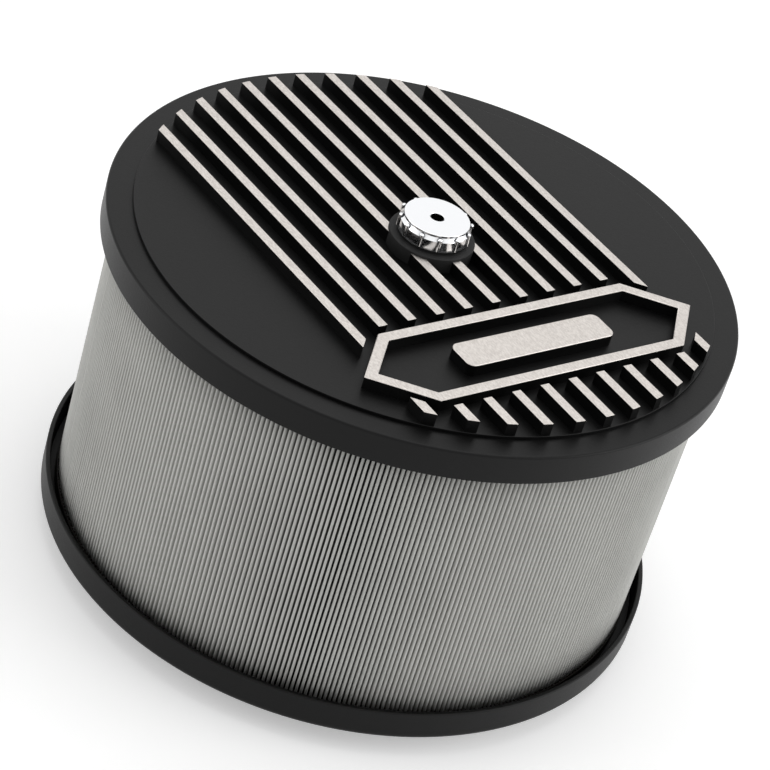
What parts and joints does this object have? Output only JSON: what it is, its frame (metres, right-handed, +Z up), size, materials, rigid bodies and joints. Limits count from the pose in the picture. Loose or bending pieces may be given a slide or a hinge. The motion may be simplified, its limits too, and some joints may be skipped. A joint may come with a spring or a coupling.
{
  "type": "carburetor air cleaner",
  "caption": "Round engine air cleaner: finned cast lid with a ribbed nut, pleated paper filter ring with sealing rims, and a pressed base pan that fits over a carburettor neck.",
  "frame": {"origin": "on the stud axis, at the underside of the neck gasket", "axes": "+Z up along the stud, away from the carburettor; the lid's fins run along Y, and its blank badge plate is on the -Y side"},
  "size_m": [0.235, 0.235, 0.1536],
  "materials": {
    "pan_coat": "satin black powder coat",
    "lid_coat": "casting in satin black powder coat, with the fins, badge frame and bar milled bright on top",
    "filter_paper": "matte light grey",
    "moulded_seal": "matte warm black",
    "gasket": "matte black",
    "nut_chrome": "polished"
  },
  "bodies": {
    "base": {"base_pan": "pan_coat", "neck_gasket": "gasket"},
    "element": {"element_bottom_ring": "moulded_seal", "pleated_paper": "filter_paper", "element_top_ring": "moulded_seal"},
    "cover": {"lid": "lid_coat"},
    "washer": {"knob_washer": "gasket"},
    "nut": {"knob": "nut_chrome"}
  },
  "joints": [
    {"name": "element_lift", "type": "slide", "parent": "base", "child": "element", "axis": [0, 0, 1], "range_m": [0, 0.075]},
    {"name": "lid_lift", "type": "slide", "parent": "element", "child": "cover", "axis": [0, 0, 1], "range_m": [0, 0.055]},
    {"name": "knob_rise", "type": "slide", "parent": "cover", "child": "washer", "axis": [0, 0, 1], "range_m": [0, 0.00635]},
    {"name": "knob_turn", "type": "hinge", "parent": "washer", "child": "nut", "pos_m": [0, 0, 0.15], "axis": [0, 0, 1], "range_deg": [0, 1800]}
  ],
  "couplings": [
    {"joint": "knob_rise", "follows": "knob_turn", "m_per_rad": 0.00020213}
  ]
}
